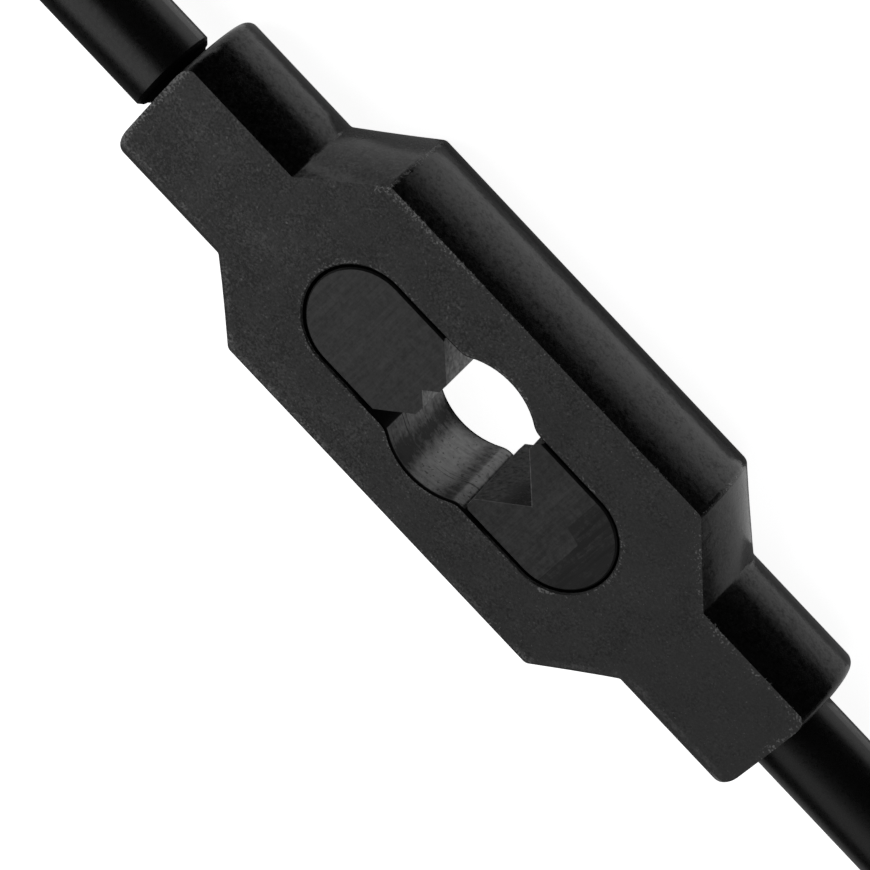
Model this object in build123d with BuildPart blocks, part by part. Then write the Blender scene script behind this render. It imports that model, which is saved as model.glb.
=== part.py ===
from build123d import *
import os
from math import sqrt, tan, radians

# Adjustable bar tap holder, in millimetres.
# X runs along the handles, Z is square to the two broad flats and is the axis of the tap.
# The origin is on the tap axis, half way through the body.
# The model stands fully open: the moving jaw is at the -X end of its travel.

# Body: a broad middle with rounded sides, sloping shoulders and a round hub at each end
body_length = 73.3
body_thickness = 11.4
hub_diameter = 15.2
middle_flat_width = 22.4
middle_flat_length = 36.1
middle_side_radius = 10.8
shoulder_length = 6.2
end_crown = 0.1
end_corner_radius = 0.9
middle_corner_radius = 0.8
hub_root_radius = 0.4

# Slot for the jaws, and the round opening in its middle
slot_length = 34.2
slot_width = 10.3
opening_diameter = 13.3
opening_blend_radius = 1.9
slot_edge_chamfer = 0.15

# Jaws
jaw_side_gap = 0.22
jaw_face_gap = 0.05
jaw_edge_chamfer = 0.15
jaw_face_angle = 45
moving_jaw_end_gap = 0.3
moving_jaw_length = 13.4
moving_jaw_nose_width = 4.1
moving_jaw_notch_depth = 1.1
fixed_jaw_end_gap = 0.24
fixed_jaw_length = 11.93
fixed_jaw_vee_depth = 3.62
fixed_jaw_corner_chamfer = 0.45
jaw_closing_gap = 0.2

# Handles: a round bar with a shoulder, a threaded stem and a grooved tip
closed_length = 200.0
handle_diameter = 8.0
handle_end_chamfer = 0.6
handle_bore_gap = 0.15
handle_bore_room = 0.35
shoulder_stand_off = 1.2
shoulder_chamfer_length = 0.4
shoulder_face_diameter = 7.3
neck_start_diameter = 6.9
thread_root_diameter = 5.8
thread_root_gap = 0.06
stem_end_gap = 0.2
stem_end_chamfer = 0.3
tip_diameter = 4.8
tip_length = 5.6
tip_end_chamfer = 0.3
tip_gap = 0.05
tip_end_gap = 0.05

# Pins that hold the grooved tips in the jaws, set in from the underside
pin_diameter = 1.6
pin_length = 7.6
pin_end_chamfer = 0.2
pin_inset = 0.3
pin_gap = 0.05
groove_depth = 0.9
groove_position = 3.0

# Worked out from the sizes above
half_length = body_length / 2
half_thickness = body_thickness / 2
hub_radius = hub_diameter / 2
hub_flat_width = 2 * sqrt(hub_radius**2 - half_thickness**2)
shoulder_start = middle_flat_length / 2
shoulder_end = shoulder_start + shoulder_length
slot_end = slot_length / 2
jaw_half_width = slot_width / 2 - jaw_side_gap
jaw_half_thickness = half_thickness - jaw_face_gap
face_rise = tan(radians(jaw_face_angle))
moving_jaw_rear = moving_jaw_end_gap - slot_end
moving_jaw_nose = moving_jaw_rear + moving_jaw_length
fixed_jaw_rear = slot_end - fixed_jaw_end_gap
fixed_jaw_nose = fixed_jaw_rear - fixed_jaw_length
fixed_jaw_vee_floor = fixed_jaw_nose + fixed_jaw_vee_depth
nose_half_width = moving_jaw_nose_width / 2
meeting_travel = fixed_jaw_vee_floor - moving_jaw_nose - nose_half_width / face_rise
jaw_travel = meeting_travel - jaw_closing_gap
handle_radius = handle_diameter / 2
handle_bore_depth = jaw_travel - shoulder_stand_off + shoulder_chamfer_length + handle_bore_room
bore_floor = half_length - handle_bore_depth
root_radius = thread_root_diameter / 2
neck_cone = neck_start_diameter / 2 - root_radius
tip_radius = tip_diameter / 2
tip_bore_depth = tip_length + tip_end_gap
pin_radius = pin_diameter / 2
groove_radius = tip_radius - groove_depth
groove_half_width = pin_radius + pin_gap
pin_offset = groove_radius + pin_gap + pin_radius
pin_bottom = pin_inset - jaw_half_thickness
moving_pin_place = moving_jaw_rear + groove_position
fixed_pin_place = fixed_jaw_rear - groove_position
plane_tolerance = 0.01

os.makedirs("parts", exist_ok=True)


def draw_section(flat_width, side_radius):
    """Two flats joined by round sides, drawn as lines of the open sketch."""
    bulge = side_radius - sqrt(side_radius**2 - half_thickness**2)
    edge = flat_width / 2
    Line((-edge, half_thickness), (edge, half_thickness))
    ThreePointArc((edge, half_thickness), (edge + bulge, 0), (edge, -half_thickness))
    Line((edge, -half_thickness), (-edge, -half_thickness))
    ThreePointArc((-edge, -half_thickness), (-edge - bulge, 0), (-edge, half_thickness))


def handle_outline(bar_end, shoulder, stem_end):
    """Half outline of a handle, pointing along +X from its outer end to its grooved tip."""
    face = shoulder + shoulder_chamfer_length
    tip_start = stem_end + stem_end_gap
    tip_end = tip_start + tip_length
    groove = tip_start + groove_position
    return [
        (bar_end, 0),
        (bar_end, handle_radius - handle_end_chamfer),
        (bar_end + handle_end_chamfer, handle_radius),
        (shoulder, handle_radius),
        (face, shoulder_face_diameter / 2),
        (face, root_radius + neck_cone),
        (face + neck_cone, root_radius),
        (stem_end - stem_end_chamfer, root_radius),
        (stem_end, root_radius - stem_end_chamfer),
        (stem_end, tip_radius),
        (groove - groove_half_width, tip_radius),
        (groove - groove_half_width, groove_radius),
        (groove + groove_half_width, groove_radius),
        (groove + groove_half_width, tip_radius),
        (tip_end - tip_end_chamfer, tip_radius),
        (tip_end, tip_radius - tip_end_chamfer),
        (tip_end, 0),
    ]


def edges_across(solid, distance):
    """Edges whose middle lies in the plane X = distance or in X = -distance."""
    return solid.edges().filter_by(lambda edge: abs(abs(edge.center().X) - distance) < plane_tolerance)


def edges_along_slot(jaw):
    """Edges of a jaw's two faces that run along the slot's sides and round its end."""
    return jaw.edges().filter_by(Axis.X) + jaw.edges().filter_by(GeomType.CIRCLE)


# Body: a turned bar for the hubs cut by both flats, with the middle and its shoulders added
with BuildPart() as body:
    with BuildSketch(Plane.XZ):
        with BuildLine():
            crown_edge = half_length - end_crown
            crown_radius = (end_crown**2 + hub_radius**2) / (2 * end_crown)
            Line((-half_length, 0), (half_length, 0))
            RadiusArc((half_length, 0), (crown_edge, hub_radius), -crown_radius)
            Line((crown_edge, hub_radius), (-crown_edge, hub_radius))
            RadiusArc((-crown_edge, hub_radius), (-half_length, 0), -crown_radius)
        outline = make_face()
        fillet(outline.vertices().group_by(Axis.Y)[-1], end_corner_radius)
    revolve(axis=Axis.X)
    with BuildSketch(Plane.XY.offset(-half_thickness)):
        Rectangle(2 * body_length, 2 * hub_diameter)
    extrude(amount=body_thickness, mode=Mode.INTERSECT)
    with BuildSketch(Plane.YZ.offset(-shoulder_start)):
        with BuildLine():
            draw_section(middle_flat_width, middle_side_radius)
        make_face()
    extrude(amount=middle_flat_length)
    for side in (-1, 1):
        with BuildSketch(Plane.YZ.offset(side * shoulder_start)):
            with BuildLine():
                draw_section(middle_flat_width, middle_side_radius)
            make_face()
        with BuildSketch(Plane.YZ.offset(side * shoulder_end)):
            with BuildLine():
                draw_section(hub_flat_width, hub_radius)
            make_face()
        loft(ruled=True)
    fillet(edges_across(body, shoulder_start), middle_corner_radius)
    fillet(edges_across(body, shoulder_end), hub_root_radius)
    with BuildSketch(Plane.XY.offset(-half_thickness)) as opening:
        SlotOverall(slot_length, slot_width)
        Circle(opening_diameter / 2)
        meeting = opening.vertices().filter_by(lambda vertex: abs(vertex.X) < opening_diameter / 2)
        fillet(meeting, opening_blend_radius)
    extrude(amount=body_thickness, mode=Mode.SUBTRACT)
    for flat in body.faces().filter_by(Axis.Z):
        chamfer(flat.inner_wires()[0].edges(), slot_edge_chamfer)
    for side in (-1, 1):
        with Locations(Plane(origin=(side * half_length, 0, 0), z_dir=(side, 0, 0))):
            CounterBoreHole(
                radius=root_radius + thread_root_gap,
                counter_bore_radius=handle_radius + handle_bore_gap,
                counter_bore_depth=handle_bore_depth,
                depth=half_length - slot_end + slot_width / 2,
            )
    floor_edges = edges_across(body, bore_floor).filter_by(GeomType.CIRCLE)
    chamfer(floor_edges.sort_by(SortBy.RADIUS)[:2], neck_cone)
body.part.label = "body"
export_step(body.part, "parts/body.step")


# Moving jaw: a blunt wedge with a small notch in its nose, and a blind bore for the handle's tip
with BuildPart() as moving_jaw:
    with BuildSketch(Plane.XY):
        with BuildLine():
            flank_start = moving_jaw_nose - (jaw_half_width - nose_half_width) / face_rise
            Polyline(
                (moving_jaw_rear + jaw_half_width, jaw_half_width),
                (flank_start, jaw_half_width),
                (moving_jaw_nose, nose_half_width),
                (moving_jaw_nose, moving_jaw_notch_depth * face_rise),
                (moving_jaw_nose - moving_jaw_notch_depth, 0),
            )
            mirror(about=Plane.XZ)
            rear = moving_jaw_rear + jaw_half_width
            ThreePointArc((rear, jaw_half_width), (moving_jaw_rear, 0), (rear, -jaw_half_width))
        make_face()
    extrude(amount=jaw_half_thickness, both=True)
    chamfer(edges_along_slot(moving_jaw), jaw_edge_chamfer)
    with Locations(Plane(origin=(-slot_end, 0, 0), z_dir=(-1, 0, 0))):
        Hole(tip_radius + tip_gap, depth=moving_jaw_end_gap + tip_bore_depth)
    with Locations(Plane((moving_pin_place, pin_offset, -jaw_half_thickness), (0, 1, 0), (0, 0, -1))):
        Hole(pin_radius, depth=pin_inset + pin_length)
moving_jaw.part.label = "moving_jaw"
export_step(moving_jaw.part, "parts/moving_jaw.step")


# Fixed jaw: the same bar with a wide vee across its nose
with BuildPart() as fixed_jaw:
    with BuildSketch(Plane.XY):
        with BuildLine():
            chamfer_start = fixed_jaw_nose + fixed_jaw_corner_chamfer
            Polyline(
                (fixed_jaw_rear - jaw_half_width, jaw_half_width),
                (chamfer_start, jaw_half_width),
                (fixed_jaw_nose, jaw_half_width - fixed_jaw_corner_chamfer),
                (fixed_jaw_nose, fixed_jaw_vee_depth * face_rise),
                (fixed_jaw_vee_floor, 0),
            )
            mirror(about=Plane.XZ)
            rear = fixed_jaw_rear - jaw_half_width
            ThreePointArc((rear, jaw_half_width), (fixed_jaw_rear, 0), (rear, -jaw_half_width))
        make_face()
    extrude(amount=jaw_half_thickness, both=True)
    chamfer(edges_along_slot(fixed_jaw), jaw_edge_chamfer)
    with Locations(Plane(origin=(slot_end, 0, 0), z_dir=(1, 0, 0))):
        Hole(tip_radius + tip_gap, depth=fixed_jaw_end_gap + tip_bore_depth)
    with Locations(Plane((fixed_pin_place, pin_offset, -jaw_half_thickness), (0, 1, 0), (0, 0, -1))):
        Hole(pin_radius, depth=pin_inset + pin_length)
fixed_jaw.part.label = "fixed_jaw"
export_step(fixed_jaw.part, "parts/fixed_jaw.step")


# Adjusting handle: its shoulder stands off the hub and enters the counterbore as the jaw closes
with BuildPart() as adjusting_handle:
    with BuildSketch(Plane.XY):
        with BuildLine():
            shoulder = -half_length - shoulder_stand_off
            stem_end = moving_jaw_rear - stem_end_gap
            bar_end = -closed_length / 2 - jaw_travel
            Polyline(handle_outline(bar_end, shoulder, stem_end), close=True)
        make_face()
    revolve(axis=Axis.X)
adjusting_handle.part.label = "adjusting_handle"
export_step(adjusting_handle.part, "parts/adjusting_handle.step")


# Fixed handle: screwed home, with its shoulder on the floor of the counterbore
with BuildPart() as fixed_handle:
    with BuildSketch(Plane.XY):
        with BuildLine():
            shoulder = -bore_floor - shoulder_chamfer_length
            stem_end = -fixed_jaw_rear - stem_end_gap
            Polyline(handle_outline(-closed_length / 2, shoulder, stem_end), close=True)
        make_face()
        mirror(about=Plane.YZ, mode=Mode.REPLACE)
    revolve(axis=Axis.X)
fixed_handle.part.label = "fixed_handle"
export_step(fixed_handle.part, "parts/fixed_handle.step")


# Pins: each lies along Z beside its groove, pressed into the jaw
with BuildPart() as moving_jaw_pin:
    with BuildSketch(Plane((moving_pin_place, pin_offset, pin_bottom))):
        Circle(pin_radius)
    extrude(amount=pin_length)
    chamfer(moving_jaw_pin.edges().filter_by(GeomType.CIRCLE), pin_end_chamfer)
moving_jaw_pin.part.label = "moving_jaw_pin"
export_step(moving_jaw_pin.part, "parts/moving_jaw_pin.step")


with BuildPart() as fixed_jaw_pin:
    with BuildSketch(Plane((fixed_pin_place, pin_offset, pin_bottom))):
        Circle(pin_radius)
    extrude(amount=pin_length)
    chamfer(fixed_jaw_pin.edges().filter_by(GeomType.CIRCLE), pin_end_chamfer)
fixed_jaw_pin.part.label = "fixed_jaw_pin"
export_step(fixed_jaw_pin.part, "parts/fixed_jaw_pin.step")
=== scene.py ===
import math

import bpy
from mathutils import Matrix, Vector


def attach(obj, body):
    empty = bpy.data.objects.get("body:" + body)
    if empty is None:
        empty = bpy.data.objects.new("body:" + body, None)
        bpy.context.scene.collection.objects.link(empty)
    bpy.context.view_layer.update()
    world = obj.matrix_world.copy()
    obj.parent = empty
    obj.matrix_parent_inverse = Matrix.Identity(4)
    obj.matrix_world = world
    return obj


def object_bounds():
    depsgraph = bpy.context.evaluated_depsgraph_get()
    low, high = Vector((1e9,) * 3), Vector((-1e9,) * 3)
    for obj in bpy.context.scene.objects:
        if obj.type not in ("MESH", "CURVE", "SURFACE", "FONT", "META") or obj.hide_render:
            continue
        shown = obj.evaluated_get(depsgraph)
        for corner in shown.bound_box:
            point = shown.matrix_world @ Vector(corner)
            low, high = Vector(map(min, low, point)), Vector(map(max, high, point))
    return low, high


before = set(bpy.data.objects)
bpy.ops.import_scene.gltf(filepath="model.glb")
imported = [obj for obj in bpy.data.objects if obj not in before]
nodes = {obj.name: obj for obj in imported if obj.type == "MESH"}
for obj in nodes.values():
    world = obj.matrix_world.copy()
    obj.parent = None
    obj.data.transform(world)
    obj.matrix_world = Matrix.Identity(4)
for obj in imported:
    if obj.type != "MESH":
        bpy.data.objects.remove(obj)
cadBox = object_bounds()
mm = 0.001

# camera: how far the view tips over from straight above towards +Y, its small yaw, and the roll that
# lays the holder across the picture
cameraView = {
    "tip": math.radians(33.9),
    "yaw": math.radians(1.28),
    "roll": math.radians(46.66),
    "distance": 290.2 * mm,
    "slideAlong": -1.003 * mm,
    "slideAcross": -4.884 * mm,
    "lens": 144.83,
    "clipStart": 10 * mm,
}


def addCamera(view):
    tip = view["tip"]
    outward = Vector((0, math.sin(tip), math.cos(tip)))
    across = Vector((0, math.cos(tip), -math.sin(tip)))
    lengthways = Vector((1, 0, 0))
    along = lengthways * math.cos(view["yaw"]) + outward * math.sin(view["yaw"])
    back = outward * math.cos(view["yaw"]) - lengthways * math.sin(view["yaw"])
    right = along * math.cos(view["roll"]) + across * math.sin(view["roll"])
    up = across * math.cos(view["roll"]) - along * math.sin(view["roll"])
    place = along * view["slideAlong"] + across * view["slideAcross"] + back * view["distance"]
    camera = bpy.data.objects.new("camera", bpy.data.cameras.new("camera"))
    camera.data.lens = view["lens"]
    camera.data.clip_start = view["clipStart"]
    camera.matrix_world = Matrix((right, up, back)).transposed().to_4x4()
    camera.location = place
    bpy.context.scene.collection.objects.link(camera)
    bpy.context.scene.camera = camera


addCamera(cameraView)
print("camera placed")


class Wire:
    # one output socket of a material, which sums and products in Python can use
    def __init__(self, paint, socket):
        self.paint = paint
        self.socket = socket

    def out(self, name):
        return Wire(self.paint, self.socket.node.outputs[name])

    def __add__(self, other):
        return self.paint.math("ADD", self, other)

    __radd__ = __add__

    def __mul__(self, other):
        return self.paint.math("MULTIPLY", self, other)

    __rmul__ = __mul__

    def __sub__(self, other):
        return self.paint.math("SUBTRACT", self, other)

    def __rsub__(self, other):
        return self.paint.math("SUBTRACT", other, self)

    def __neg__(self):
        return self * -1

    def __abs__(self):
        return self.paint.math("ABSOLUTE", self)


def addNode(tree, kind, settings=None, sockets=None):
    # settings come first, then the value or the link of each named socket
    node = tree.nodes.new(kind)
    for name, value in (settings or {}).items():
        setattr(node, name, value)
    for name, value in (sockets or {}).items():
        value = value.socket if isinstance(value, Wire) else value
        if isinstance(value, bpy.types.NodeSocket):
            tree.links.new(value, node.inputs[name])
        else:
            node.inputs[name].default_value = value
    return node


class Paint:
    # a material or a world, and the nodes that are added to it
    def __init__(self, owner):
        owner.use_nodes = True
        self.owner = owner
        self.tree = owner.node_tree
        self.tree.nodes.clear()

    def add(self, kind, settings=None, sockets=None, out=0):
        node = addNode(self.tree, kind, settings, sockets)
        return Wire(self, node.outputs[out]) if node.outputs else node

    def math(self, operation, first, second=0.0):
        return self.add("ShaderNodeMath", {"operation": operation}, {0: first, 1: second})

    def least(self, first, second):
        return self.math("MINIMUM", first, second)

    def most(self, first, second):
        return self.math("MAXIMUM", first, second)

    def length(self, first, second):
        return self.math("SQRT", first * first + second * second)

    def rise(self, value, low, high):
        # 0 up to low, 1 from high, smooth between
        return self.add("ShaderNodeMapRange", {"interpolation_type": "SMOOTHSTEP"},
                        {"Value": value, "From Min": low, "From Max": high})

    def fall(self, value, low, high):
        # 1 up to low, 0 from high, smooth between
        return 1 - self.rise(value, low, high)

    def near(self, value, spot, full, none):
        # 1 within full of the spot, 0 from none away, smooth between
        return self.fall(abs(value - spot), full, none)

    def span(self, value, limits):
        # the limits say where it begins, is full, begins to fade and is gone
        begin, full, fade, gone = limits
        return self.rise(value, begin, full) * self.fall(value, fade, gone)

    def place(self):
        # where on the piece, in millimetres
        spot = self.add("ShaderNodeTexCoord", out="Object")
        return self.add("ShaderNodeVectorMath", {"operation": "SCALE"}, {0: spot, "Scale": 1 / mm})

    def facing(self):
        # which way the face looks, as x, y and z
        return self.split(self.add("ShaderNodeTexCoord", out="Normal"))

    def split(self, vector):
        parts = self.add("ShaderNodeSeparateXYZ", sockets={0: vector})
        return parts, parts.out("Y"), parts.out("Z")

    def noise(self, place, scale, detail=2.0, roughness=0.5):
        return self.add("ShaderNodeTexNoise", sockets={
            "Vector": place, "Scale": scale, "Detail": detail, "Roughness": roughness})

    def streaks(self, place, scales, detail=2.0, roughness=0.5):
        # noise with its own scale along each axis, drawn out where that is small
        stretched = self.add("ShaderNodeVectorMath", {"operation": "MULTIPLY"}, {0: place, 1: scales})
        return self.noise(stretched, 1.0, detail, roughness)

    def blend(self, factor, first, second):
        # colours as (red, green, blue)
        colours = {0: factor, 6: (*first, 1), 7: (*second, 1)}
        return self.add("ShaderNodeMix", {"data_type": "RGBA"}, colours, out=2)

    def grey(self, level):
        return self.blend(level, (0, 0, 0), (1, 1, 1))

    def bump(self, height, depth):
        return self.add("ShaderNodeBump", sockets={"Strength": 1.0, "Distance": depth * mm, "Height": height})

    def surface(self, **sockets):
        return self.add("ShaderNodeBsdfPrincipled", sockets={
            name.replace("_", " "): value for name, value in sockets.items()})

    def cover(self, share, under, over):
        # the second surface lies over the first where the share is 1
        return self.add("ShaderNodeMixShader", sockets={0: share, 1: under, 2: over})

    def finish(self, shader):
        self.add("ShaderNodeOutputMaterial", sockets={"Surface": shader})
        return self.owner


# surroundings: a white floor, two softboxes over the -Y side, and cards on the floor that only
# reflections show. A card's near edge is drawn as (x, y) points in millimetres, its far edge is one y,
# and each card lies a little above the one before
room = {
    "floorSize": 4.0,
    "floorGap": 0.01 * mm,
    "floorColour": (0.8, 0.8, 0.816, 1),
    "shownWhite": 0.945,
    "mirroredWhite": 0.1,
    "fill": 0.02,
    "softboxes": [
        {"at": (-160, -132, 236), "size": (430, 320), "power": 0.45},
        {"at": (215, -100, 248), "size": (350, 480), "power": 0.245},
    ],
    "cardHeight": 0.02 * mm,
    "cardStep": 0.01 * mm,
    "cards": [
        {"name": "brightCard", "glow": 0.78, "far": 31,
         "near": [(-400, 4), (-38.5, 4), (-37.5, 9.1), (-26.5, 9.1), (-25, 12), (-19.5, 16), (-17, 14.3),
                  (17, 14.3), (18.5, 11.8), (24.3, 6.8), (25.5, 9.2), (37.5, 9.2), (38.5, 4), (400, 4)]},
        {"name": "rightCard", "glow": 0.66, "far": 31,
         "near": [(25.5, 9.4), (37.5, 9.4), (38.5, 4), (400, 4)]},
        {"name": "middleCard", "glow": 0.7, "far": 31, "near": [(-24, 25), (24, 25)]},
        {"name": "paleCard", "glow": 0.35, "far": 62, "near": [(-24, 31), (24, 31)]},
        {"name": "darkCard", "glow": 0.03, "far": 600,
         "near": [(-400, 23), (-24.1, 23), (-24, 62), (24, 62), (24.1, 20), (400, 20)]},
        {"name": "leftCard", "glow": 1.35, "far": 160, "near": [(-600, 23), (-62, 23)]},
        {"name": "leftHubCard", "glow": 0.36, "far": 29, "near": [(-46, 21.5), (-24.1, 21.5)]},
        {"name": "rightHubCard", "glow": 0.33, "far": 26, "near": [(24.1, 18.5), (46, 18.5)]},
        {"name": "nearCard", "glow": 0.07, "far": 12.9, "near": [(-19, 9), (19, 9)]},
        {"name": "frontCard", "glow": 0.08, "far": -600,
         "near": [(-400, -4.5), (-26, -8), (-20, -13), (20, -13), (26, -8), (400, -4.5)]},
        {"name": "frontRightCard", "glow": 0.25, "far": -600, "near": [(38, -4.5), (400, -4.5)]},
        {"name": "openingCard", "glow": 0.45, "far": 6, "near": [(-6, -6), (6, -6)]},
    ],
}


def addPanel(name, corners, faces, owner):
    mesh = bpy.data.meshes.new(name)
    mesh.from_pydata([Vector(corner) for corner in corners], [], faces)
    mesh.materials.append(owner)
    panel = bpy.data.objects.new(name, mesh)
    bpy.context.scene.collection.objects.link(panel)
    return panel


def addCard(card, height):
    paint = Paint(bpy.data.materials.new(card["name"]))
    glow = paint.add("ShaderNodeEmission", sockets={"Strength": card["glow"]})
    corners, faces = [], []
    for (startX, startY), (endX, endY) in zip(card["near"], card["near"][1:]):
        first = len(corners)
        for x, y in ((startX, startY), (endX, endY), (endX, card["far"]), (startX, card["far"])):
            corners.append((x * mm, y * mm, height))
        faces.append((first, first + 1, first + 2, first + 3))
    panel = addPanel(card["name"], corners, faces, paint.finish(glow))
    panel.visible_camera = panel.visible_diffuse = panel.visible_shadow = panel.visible_transmission = False


def addFloor(room, height):
    paint = Paint(bpy.data.materials.new("floor"))
    seen = paint.add("ShaderNodeLightPath", out="Is Camera Ray")
    mirrored = seen.out("Is Glossy Ray") + seen.out("Is Transmission Ray")
    matt = paint.add("ShaderNodeBsdfDiffuse", sockets={"Color": room["floorColour"]})
    white = paint.add("ShaderNodeEmission", sockets={
        "Strength": seen * room["shownWhite"] + mirrored * room["mirroredWhite"]})
    both = paint.add("ShaderNodeAddShader", sockets={0: matt, 1: white})
    half = room["floorSize"] / 2
    corners = [(x, y, height) for x, y in ((-half, -half), (half, -half), (half, half), (-half, half))]
    addPanel("floor", corners, [(0, 1, 2, 3)], paint.finish(both))


def addRoom(room):
    paint = Paint(bpy.data.worlds.new("room"))
    seen = paint.add("ShaderNodeLightPath", out="Is Camera Ray")
    light = paint.add("ShaderNodeBackground", sockets={"Strength": room["fill"] + seen * (1 - room["fill"])})
    paint.add("ShaderNodeOutputWorld", sockets={"Surface": light})
    bpy.context.scene.world = paint.owner

    low = cadBox[0].z
    addFloor(room, low - room["floorGap"])
    for layer, card in enumerate(room["cards"]):
        addCard(card, low + room["cardHeight"] + room["cardStep"] * layer)

    for number, box in enumerate(room["softboxes"]):
        lamp = bpy.data.lights.new(f"softbox{number}", "AREA")
        lamp.shape = "RECTANGLE"
        lamp.size, lamp.size_y = [side * mm for side in box["size"]]
        lamp.energy = box["power"]
        holder = bpy.data.objects.new(lamp.name, lamp)
        holder.location = Vector(box["at"]) * mm
        holder.rotation_euler = holder.location.to_track_quat("Z", "X").to_euler()
        holder.visible_camera = False
        bpy.context.scene.collection.objects.link(holder)
    print("room lit")


addRoom(room)

# body: blackened steel, matt on the two flats and smoother round the sides. Places and widths are in
# millimetres, scales are the noise's own, and a range says where something sets in and where it is full
bodyLook = {
    "flatTone": 0.035,
    "sideTone": 0.004,
    "wallTone": 0.26,
    "wearTone": 0.22,
    "gapShadeTone": 0.002,
    "flatRoughness": 0.50,
    "sideRoughness": 0.22,
    "gapRoughness": 0.7,
    "flatGloss": 0.42,
    "sideGloss": 0.57,
    "gapGloss": 0.1,
    "flatDepth": 0.03,
    "sideDepth": 0.02,
    "slantMatt": 0.35,
    "rimLight": 0.15,
    # unevenness
    "fineScale": 4.4,
    "grainScale": 1.9,
    "cloudScale": 0.25,
    "swellScale": 0.5,
    "calmScale": 0.45,
    "poreScale": 2.8,
    "fineMottle": 4.0,
    "grainMottle": 2.7,
    "cloudMottle": 1.6,
    "mottleLeast": 0.12,
    "fineStain": 1.3,
    "grainStain": 1.3,
    "cloudStain": 0.6,
    "pitRange": (0.66, 0.78),
    "pitDepth": 0.5,
    "speckRange": (0.28, 0.36),
    "speckLight": 1.3,
    "glintInset": 0.4,
    # worn edges
    "rimWidth": 1.2,
    "rimWear": 0.8,
    "edgeWidth": 0.2,
    "edgeWear": 0.55,
    "mouthWidth": 0.8,
    "scuffAt": 15.6,
    "scuffWear": 0.9,
    "creaseWidth": 0.35,
    "patchScale": 0.33,
    "patchLeast": 0.45,
    "patchRange": (0.38, 0.60),
    "sparedShare": 0.8,
    "endRange": (35.6, 36.5),
    "dotScale": 4.6,
    "dotReach": 0.23,
    "dotRange": (0.66, 0.76),
    # wall of the opening, with its places along x, and how deep its painted shade and how strong its painted
    # highlights are
    "wallSpan": (-4.25, -4.1, 4.9, 5.2),
    "wallMetal": 0.7,
    "streakScales": (0.15, 0.15, 3.0),
    "shadeAt": -1.6,
    "shadeDepth": 0.95,
    "slotShadeSpan": (2.2, 3.5, 3.72, 4.0),
    "slotShadeDepth": 0.7,
    "leftShadeDepth": 0.3,
    "cornerLine": 4.95,
    "cornerShadeDepth": 0.8,
    "upperShadeDepth": 0.35,
    "scratchHeight": 2.4,
    "scratchDim": 0.9,
    "highlightAt": 1.2,
    "highlightLift": 0.28,
    "spotRange": (0.63, 0.74),
    "spotDim": 0.65,
    # the body's form, which the finish follows
    "halfThickness": 5.7,
    "middleHalfWidth": 11.2,
    "hubHalfWidth": 5.03,
    "shoulderStart": 18.05,
    "shoulderEnd": 24.25,
    "flatEnd": 36.58,
    "slotRadius": 5.15,
    "slotCentre": 11.95,
    "openingRadius": 6.65,
}


def flatEdges(paint, look, x, y):
    # how far a point of the flat lies in from its outer edge, and out from the slot and the opening
    ahead, side = abs(x), abs(y)
    narrowing = look["middleHalfWidth"] - look["hubHalfWidth"]
    slope = narrowing / (look["shoulderEnd"] - look["shoulderStart"])
    lean = 1 / math.hypot(1, slope)
    shoulder = ((look["shoulderStart"] - ahead) * slope + look["middleHalfWidth"] - side) * lean
    middle = paint.least(look["middleHalfWidth"] - side, shoulder)
    inset = paint.least(paint.most(middle, look["hubHalfWidth"] - side), look["flatEnd"] - ahead)
    past = paint.most(ahead - look["slotCentre"], 0.0)
    fromSlot = paint.length(past, y) - look["slotRadius"]
    fromOpening = paint.length(x, y) - look["openingRadius"]
    return inset, paint.least(fromSlot, fromOpening)


def wornEdges(paint, look, place, flat, inside, inset, outside):
    # rim of the flats, edge of the sides, mouth of the slot, and creases between middle and shoulders.
    # The rim and the creases wear more to the left, and the mouth most in a scuff on the right
    x, y, z = paint.split(place)
    ahead = abs(x)
    sides = (1 - flat) * (1 - inside)
    rim = paint.fall(inset, 0.0, look["rimWidth"]) * flat
    rim = rim * paint.most(0.5 + paint.rise(-x, 2.0, 12.0) * 0.4, paint.rise(ahead, 16.5, 17.5))
    edge = paint.fall(look["halfThickness"] - abs(z), 0.0, look["edgeWidth"]) * sides
    mouth = paint.fall(outside, 0.15, look["mouthWidth"]) * flat * (0.8 + paint.rise(y, -3.0, 3.0) * 0.2)
    scuff = paint.near(x, look["scuffAt"], 1.4, 2.0) * paint.rise(-y, 3.0, 4.5)
    mouth = mouth * (0.7 + scuff * look["scuffWear"])
    creases = paint.near(ahead, look["shoulderStart"], 0.0, look["creaseWidth"]) * sides
    creases = creases * (0.75 + paint.rise(-x, 17.0, 18.0) * paint.rise(-z, -2.0, 2.0) * 0.6)

    # less beyond the left crease and on the -Y half beyond the right one, but not at the left hub's end
    patches = paint.rise(paint.noise(place, look["patchScale"]) - x * 0.001, *look["patchRange"])
    patches = look["patchLeast"] + (1 - look["patchLeast"]) * patches
    edges = paint.most(rim * look["rimWear"], edge * look["edgeWear"])
    wear = paint.most(edges, paint.most(mouth, creases)) * patches
    spared = paint.rise(-x, 18.7, 19.3) + paint.rise(x, 17.0, 19.0) * paint.rise(-y, -1.0, 1.0)
    wear = wear * (1 - spared * look["sparedShare"])
    wear = paint.most(wear, paint.rise(-x, *look["endRange"]) * flat * (0.7 + abs(y) * 0.12))

    # wear shows as dots, which crowd where it is near 1
    dots = paint.noise(place, look["dotScale"], 2.0, 0.7)
    allowed = paint.most(flat * 0.6, paint.rise(wear, 0.03, 0.2))
    return rim, paint.rise(dots + wear * look["dotReach"], *look["dotRange"]) * allowed


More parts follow.
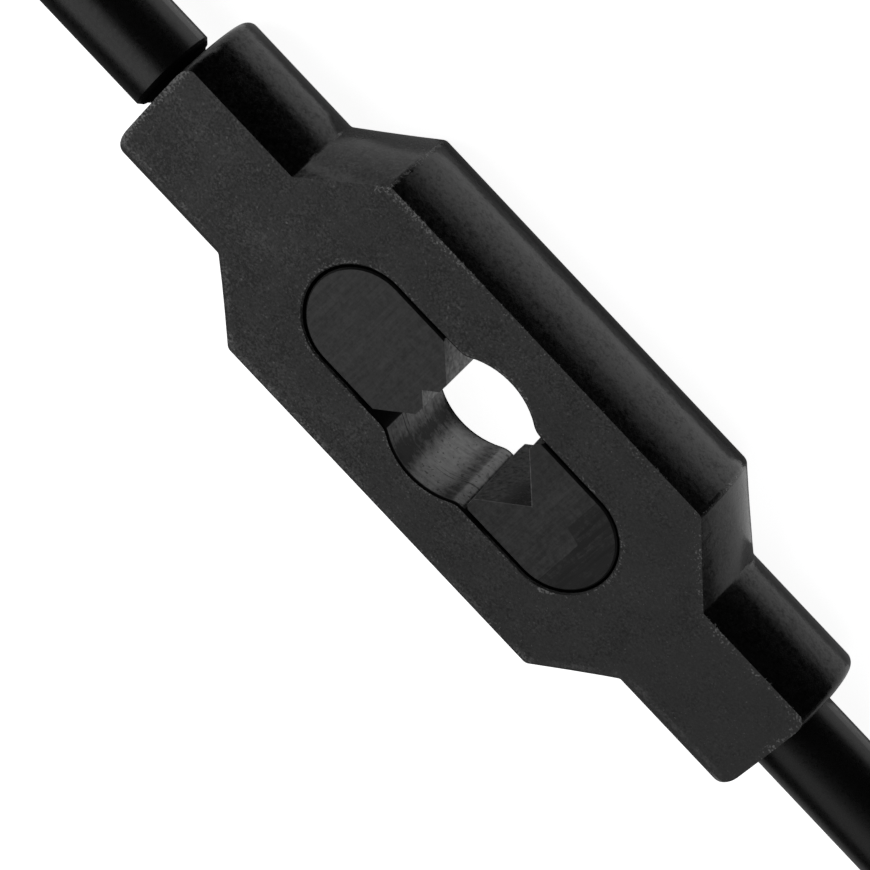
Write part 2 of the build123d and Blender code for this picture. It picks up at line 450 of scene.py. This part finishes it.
def openingWall(paint, look, place, grain, pores):
    # bare metal, with painted shade left of the middle and just before the slot, and a painted highlight
    # between them and on the corner
    x, _, z = paint.split(place)
    streaks = paint.streaks(place, look["streakScales"], 2.0, 0.6)
    scratched = paint.near(z, look["scratchHeight"], 0.5, 1.0) * paint.rise(streaks, 0.53, 0.63)
    # painted shade left of the middle, before the slot, at the far left, on the corner line and towards the
    # top, plus darker scratches
    shadeAndScratches = paint.near(x, look["shadeAt"], 0.1, 2.0) * look["shadeDepth"]
    shadeAndScratches = shadeAndScratches + paint.span(x, look["slotShadeSpan"]) * look["slotShadeDepth"]
    shadeAndScratches = shadeAndScratches + paint.fall(x, -3.8, -2.0) * look["leftShadeDepth"]
    shadeAndScratches = shadeAndScratches + paint.near(x, look["cornerLine"], 0.05, 0.25) * look["cornerShadeDepth"]
    shadeAndScratches = shadeAndScratches + paint.rise(z, 1.5, look["halfThickness"]) * look["upperShadeDepth"]
    shadeAndScratches = shadeAndScratches + scratched * look["scratchDim"]
    # painted highlight in the middle of the wall and on the strip past the corner
    paintedHighlight = paint.near(x, look["highlightAt"], 0.3, 1.9) * look["highlightLift"] + paint.rise(x, 3.6, 3.75) * 0.1
    tone = paint.most(1.0 + (streaks - 0.5) * 0.8 + (grain - 0.5) * 1.5 + paintedHighlight - shadeAndScratches, 0.05)
    spots = paint.rise(pores + paint.rise(x, 2.0, 3.6) * 0.03, *look["spotRange"])
    return look["wallTone"] * tone * (1 - spots * look["spotDim"])


def paintBody(look):
    paint = Paint(bpy.data.materials.new("blackenedBody"))
    place = paint.place()
    x, y, z = paint.split(place)
    facing = paint.facing()
    across, upright = abs(facing[0]), abs(facing[2])

    # the flats, the slot's chamfer, everything inside the slot, and the opening's bare ring
    inset, outside = flatEdges(paint, look, x, y)
    flat = paint.rise(upright, 0.97, 0.995)
    atSlot = paint.fall(outside, 0.17, 0.30)
    chamfer = paint.rise(upright, 0.6, 0.68) * atSlot * paint.rise(abs(x), 6.8, 8.5)
    inside = atSlot * (1 - flat) * (1 - chamfer)
    depth = look["halfThickness"] - abs(z)
    ring = inside * paint.rise(depth, 0.18, 0.42) * paint.span(x, look["wallSpan"])

    # unevenness of the blackened surface, rougher to the left and in patches, and stains that mirror more
    fine = paint.noise(place, look["fineScale"], 2.0, 0.6)
    grain = paint.noise(place, look["grainScale"], 3.0, 0.6)
    clouds = paint.noise(place, look["cloudScale"], 3.0, 0.55)
    swell = paint.noise(place, look["swellScale"])
    calm = paint.noise(place, look["calmScale"])
    pores = paint.noise(place, look["poreScale"], 1.0)
    uneven = (0.95 - x * 0.016) * (0.6 + paint.rise(calm, 0.42, 0.58) * 0.65)
    mottle = (fine - 0.5) * look["fineMottle"] + (grain - 0.5) * look["grainMottle"]
    mottle = mottle + (clouds - 0.5) * look["cloudMottle"]
    mottle = paint.most(0.9 + mottle * uneven, look["mottleLeast"])
    stain = (0.5 - fine) * look["fineStain"] + (0.5 - grain) * look["grainStain"]
    stain = paint.most(0.12 + stain + (0.5 - clouds) * look["cloudStain"], 0.0) * (1 - ring)

    # pits, light specks, more of them to the left, and a smeared line inside the rim's -Y side
    pits = paint.rise(pores, *look["pitRange"])
    specks = paint.fall(pores, *look["speckRange"]) * (1 - paint.rise(x, -15.0, 15.0) * 0.6)
    glint = paint.near(inset, look["glintInset"], 0.1, 0.35) * paint.rise(-y, 3.0, 5.0)
    glint = glint * paint.rise(calm, 0.40, 0.55)

    rim, wear = wornEdges(paint, look, place, flat, inside, inset, outside)
    wall = openingWall(paint, look, place, grain, pores)
    lights = 1 + specks * look["speckLight"] + glint
    flatTone = mottle * (1 - pits * look["pitDepth"]) * lights + rim * look["rimLight"]
    flatTone = look["flatTone"] * flatTone
    sideTone = look["sideTone"] * mottle * (1 - ring) + wall * ring
    worn = look["wearTone"] * wear
    matt = paint.surface(
        Base_Color=paint.grey(flatTone * (1 - wear) + worn),
        Roughness=look["flatRoughness"] + (grain - 0.5) * 0.3,
        Normal=paint.bump(fine, look["flatDepth"]),
        Specular_IOR_Level=look["flatGloss"],
    )
    smooth = paint.surface(
        Base_Color=paint.grey(sideTone * (1 - wear) + worn),
        Metallic=ring * look["wallMetal"] + stain,
        Roughness=look["sideRoughness"] + (fine - 0.5) * 0.2 + (grain - 0.5) * 0.2 + ring * 0.2,
        Normal=paint.bump((grain + swell * 1.6) * (1 - ring * 0.9), look["sideDepth"]),
        Specular_IOR_Level=look["sideGloss"],
    )
    # inside the slot and in narrow bands at the rims of the opening's wall: near-black and dull, painted
    # shade of the gaps round the jaws
    dull = paint.surface(
        Base_Color=(look["gapShadeTone"], look["gapShadeTone"], look["gapShadeTone"], 1),
        Roughness=look["gapRoughness"],
        Specular_IOR_Level=look["gapGloss"],
    )
    slanted = paint.rise(across, 0.25, 0.5) * (1 - inside) * look["slantMatt"]
    outer = paint.cover(paint.most(flat, slanted) + chamfer, smooth, matt)
    return paint.finish(paint.cover(inside * (1 - ring), outer, dull))


# jaws: ground steel, blackened, with grinding lines across the holder, bare metal where taps rub, painted
# shade on the sides in the slot and a painted highlight along the vee's edge
jawLook = {
    "tone": 0.0285,
    "veeTone": 0.20,
    "bareAndHighlightTone": 0.30,
    "roughness": 0.47,
    "veeRoughness": 0.75,
    "gloss": 0.5,
    "veeGloss": 0.3,
    "grainScale": 2.4,
    "lineScales": (5.0, 0.25, 0.25),
    "bandScales": (0.9, 0.06, 0.06),
    "roundScales": (0.5, 0.5, 3.0),
    "smearScales": (2.4, 0.15, 0.15),
    "lineDepth": 0.004,
    "lineShade": 2.4,
    "bandShade": 1.2,
    "grainShade": 3.2,
    "fixedShade": 0.14,
    "sideShadeShare": 0.15,
    "noseSpan": (-6.6, -6.2, -3.0, 0.0),
    "noseMetal": 0.7,
    "veeFloor": 8.55,
    "darkFrom": 13.4,
    "darkStep": 1.65,
    "darkShade": 0.75,
    "smearShade": 0.6,
}


def paintJaws(look):
    paint = Paint(bpy.data.materials.new("groundJaw"))
    place = paint.place()
    x, y, z = paint.split(place)
    facing = paint.facing()
    flat = paint.rise(abs(facing[2]), 0.9, 0.99)
    fixed = paint.rise(x, 4.0, 4.5)

    # grinding lines on the flat faces, marks round the sides, and a darker end that steps forward at +Y
    grain = paint.noise(place, look["grainScale"], 3.0, 0.65)
    lines = paint.streaks(place, look["lineScales"], 3.0, 0.6)
    bands = paint.streaks(place, look["bandScales"])
    rounds = paint.streaks(place, look["roundScales"], 3.0, 0.6)
    smears = paint.streaks(place, look["smearScales"])
    marks = lines * flat + rounds * (1 - flat)
    step = paint.rise(y, 0.6, 1.2) * look["darkStep"]
    dark = paint.rise(x + step, look["darkFrom"], look["darkFrom"] + 0.1) * flat
    dark = dark * (look["darkShade"] + paint.rise(smears, 0.53, 0.60) * look["smearShade"])
    dark = dark + paint.rise(x, 3.0, 5.0) * look["fixedShade"]
    shade = (marks - 0.5) * look["lineShade"] + (bands - 0.5) * look["bandShade"]
    shade = paint.most(1 + shade + (grain - 0.5) * look["grainShade"] - dark, 0.1)
    # the sides, which stand in the slot, keep only a small share of the tone: painted shade of the gap
    black = look["tone"] * shade * (look["sideShadeShare"] + flat * (1 - look["sideShadeShare"]))

    # bare metal on the nose of the moving jaw, and along the edge of the fixed jaw's vee a thin line that is
    # partly bare metal and partly painted highlight, brighter on its +Y half
    nose = paint.span(x, look["noseSpan"]) * paint.rise(facing[0], 0.3, 0.6)
    veeEdgeWearAndHighlight = paint.near(x + abs(y), look["veeFloor"], 0.06, 0.15) * flat * fixed
    bareAndHighlight = paint.least(nose + veeEdgeWearAndHighlight * (0.17 + paint.rise(y, -0.5, 0.5) * 0.16), 1.0)
    bright = paint.most((grain - 0.3) * 3.5 + paint.rise(x, -6.2, -3.8) * 0.5, 0.15)
    ground = paint.surface(
        Base_Color=paint.grey(black * (1 - bareAndHighlight) + look["bareAndHighlightTone"] * bareAndHighlight * bright),
        Metallic=nose * look["noseMetal"],
        Roughness=look["roughness"] + (marks - 0.5) * 0.15 + dark * 0.12,
        Normal=paint.bump(marks, look["lineDepth"]),
        Specular_IOR_Level=look["gloss"],
    )

    # walls of the vee, darker in patches high up near its floor
    veeDarkening = paint.rise(z, 0.8, 2.2) * paint.rise(x, 6.0, 7.6) * paint.rise(grain, 0.36, 0.54) * 1.05
    dull = paint.surface(
        Base_Color=paint.grey(look["veeTone"] * paint.most((grain - 0.2) * 4.0 - veeDarkening, 0.2)),
        Roughness=look["veeRoughness"],
        Normal=paint.bump(grain, look["lineDepth"] * 3),
        Specular_IOR_Level=look["veeGloss"],
    )
    vee = paint.fall(facing[0], -0.6, -0.3) * fixed
    return paint.finish(paint.cover(vee, ground, dull))


# handles: satin black with a very fine grain, and a dull, darker neck between bar and body, painted shade
# where the bar goes into the body
barLook = {
    "tone": 0.004,
    "neckShadeTone": 0.002,
    "roughness": 0.29,
    "neckRoughness": 0.6,
    "gloss": 0.45,
    "neckGloss": 0.15,
    "grainScale": 3.0,
    "grainDepth": 0.006,
    "neckFrom": 36.0,
    "neckRadius": 3.75,
}


def paintBars(look):
    paint = Paint(bpy.data.materials.new("satinBar"))
    place = paint.place()
    x, y, z = paint.split(place)
    grain = paint.noise(place, look["grainScale"], 3.0, 0.6)
    satin = paint.surface(
        Base_Color=paint.grey(look["tone"] * (0.6 + grain * 0.8)),
        Metallic=paint.most((grain - 0.5) * 0.5, 0.0),
        Roughness=look["roughness"] + (grain - 0.5) * 0.3,
        Normal=paint.bump(grain, look["grainDepth"]),
        Specular_IOR_Level=look["gloss"],
    )
    dull = paint.surface(
        Base_Color=(look["neckShadeTone"], look["neckShadeTone"], look["neckShadeTone"], 1),
        Roughness=look["neckRoughness"],
        Specular_IOR_Level=look["neckGloss"],
    )
    neck = paint.fall(paint.length(y, z), look["neckRadius"], look["neckRadius"] + 0.1)
    neck = neck * paint.rise(abs(x), look["neckFrom"], look["neckFrom"] + 0.2)
    return paint.finish(paint.cover(neck, satin, dull))


# pins: bright turned ends
pinLook = {
    "tone": 0.25,
    "tint": (1, 0.97, 0.93),
    "roughness": 0.4,
    "rings": 7.0,
    "ringDepth": 0.003,
}


def paintPins(look):
    paint = Paint(bpy.data.materials.new("turnedPin"))
    rings = paint.noise(paint.place(), look["rings"])
    return paint.finish(paint.surface(
        Base_Color=paint.blend(look["tone"] * (0.7 + rings * 0.6), (0, 0, 0), look["tint"]),
        Metallic=1.0,
        Roughness=look["roughness"] + (rings - 0.5) * 0.2,
        Normal=paint.bump(rings, look["ringDepth"]),
    ))


finishes = {
    "body": paintBody(bodyLook),
    "jaw": paintJaws(jawLook),
    "bar": paintBars(barLook),
    "pin": paintPins(pinLook),
}
finishOf = {
    "body": "body",
    "moving_jaw": "jaw",
    "fixed_jaw": "jaw",
    "adjusting_handle": "bar",
    "fixed_handle": "bar",
    "moving_jaw_pin": "pin",
    "fixed_jaw_pin": "pin",
}
for name, finish in finishOf.items():
    nodes[name].data.materials.clear()
    nodes[name].data.materials.append(finishes[finish])
print("finishes on", len(finishOf), "CAD pieces")

# thread of the adjusting handle, in millimetres, which shows in the slot as the jaw closes
thread = {
    "from": -36.4,
    "to": -17.5,
    "pitch": 1.0,
    "rootRadius": 2.86,
    "crestRadius": 3.5,
    "rootWidth": 0.86,
    "crestWidth": 0.14,
    "stepsPerTurn": 28,
}
threadInputs = {
    "Turns": "NodeSocketFloat",
    "Length": "NodeSocketFloat",
    "Middle radius": "NodeSocketFloat",
    "Start": "NodeSocketFloat",
    "Root width": "NodeSocketFloat",
    "Crest width": "NodeSocketFloat",
    "Rise": "NodeSocketFloat",
    "Steps": "NodeSocketInt",
    "Finish": "NodeSocketMaterial",
}


def threadTree():
    tree = bpy.data.node_groups.new("thread", "GeometryNodeTree")
    inputs = {}
    for name, kind in threadInputs.items():
        inputs[name] = tree.interface.new_socket(name, in_out="INPUT", socket_type=kind).identifier
    tree.interface.new_socket("Geometry", in_out="OUTPUT", socket_type="NodeSocketGeometry")
    given = tree.nodes.new("NodeGroupInput").outputs

    # a spiral along Z with the thread's outline swept along it, then laid down along X
    spiral = addNode(tree, "GeometryNodeCurveSpiral", sockets={
        "Resolution": given["Steps"], "Rotations": given["Turns"], "Start Radius": given["Middle radius"],
        "End Radius": given["Middle radius"], "Height": given["Length"]})
    upright = addNode(tree, "GeometryNodeSetCurveNormal", {"mode": "Z_UP"}, {"Curve": spiral.outputs[0]})
    outline = addNode(tree, "GeometryNodeCurvePrimitiveQuadrilateral", {"mode": "TRAPEZOID"}, {
        "Bottom Width": given["Root width"], "Top Width": given["Crest width"], "Height": given["Rise"],
        "Offset": 0.0})
    sweep = addNode(tree, "GeometryNodeCurveToMesh", sockets={
        "Curve": upright.outputs[0], "Profile Curve": outline.outputs[0], "Fill Caps": True})
    shift = addNode(tree, "ShaderNodeCombineXYZ", sockets={"X": given["Start"]})
    laid = addNode(tree, "GeometryNodeTransform", sockets={
        "Geometry": sweep.outputs[0], "Translation": shift.outputs[0], "Rotation": (0, math.pi / 2, 0)})
    real = addNode(tree, "GeometryNodeRealizeInstances", sockets={0: laid.outputs[0]})
    dressed = addNode(tree, "GeometryNodeSetMaterial", sockets={
        "Geometry": real.outputs[0], "Material": given["Finish"]})
    addNode(tree, "NodeGroupOutput", sockets={0: dressed.outputs[0]})
    return tree, inputs


def makeThread(sizes):
    tree, inputs = threadTree()
    carrier = bpy.data.objects.new("threadMaker", bpy.data.meshes.new("threadMaker"))
    bpy.context.scene.collection.objects.link(carrier)
    grow = carrier.modifiers.new("grow", "NODES")
    grow.node_group = tree
    length = sizes["to"] - sizes["from"]
    values = {
        "Turns": length / sizes["pitch"],
        "Length": length * mm,
        "Middle radius": (sizes["rootRadius"] + sizes["crestRadius"]) / 2 * mm,
        "Start": sizes["from"] * mm,
        "Root width": sizes["rootWidth"] * mm,
        "Crest width": sizes["crestWidth"] * mm,
        "Rise": (sizes["crestRadius"] - sizes["rootRadius"]) * mm,
        "Steps": sizes["stepsPerTurn"],
        "Finish": finishes["bar"],
    }
    for name, value in values.items():
        grow[inputs[name]] = value
    bpy.context.view_layer.update()
    ready = carrier.evaluated_get(bpy.context.evaluated_depsgraph_get())
    mesh = bpy.data.meshes.new_from_object(ready)
    carrier.modifiers.clear()
    bpy.data.objects.remove(carrier)
    piece = bpy.data.objects.new("adjustingThread", mesh)
    bpy.context.scene.collection.objects.link(piece)
    return piece


adjustingThread = makeThread(thread)
print("thread has", len(adjustingThread.data.polygons), "faces")
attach(adjustingThread, "adjuster")

bpy.context.scene.view_settings.view_transform = "Standard"
print("scene ready")
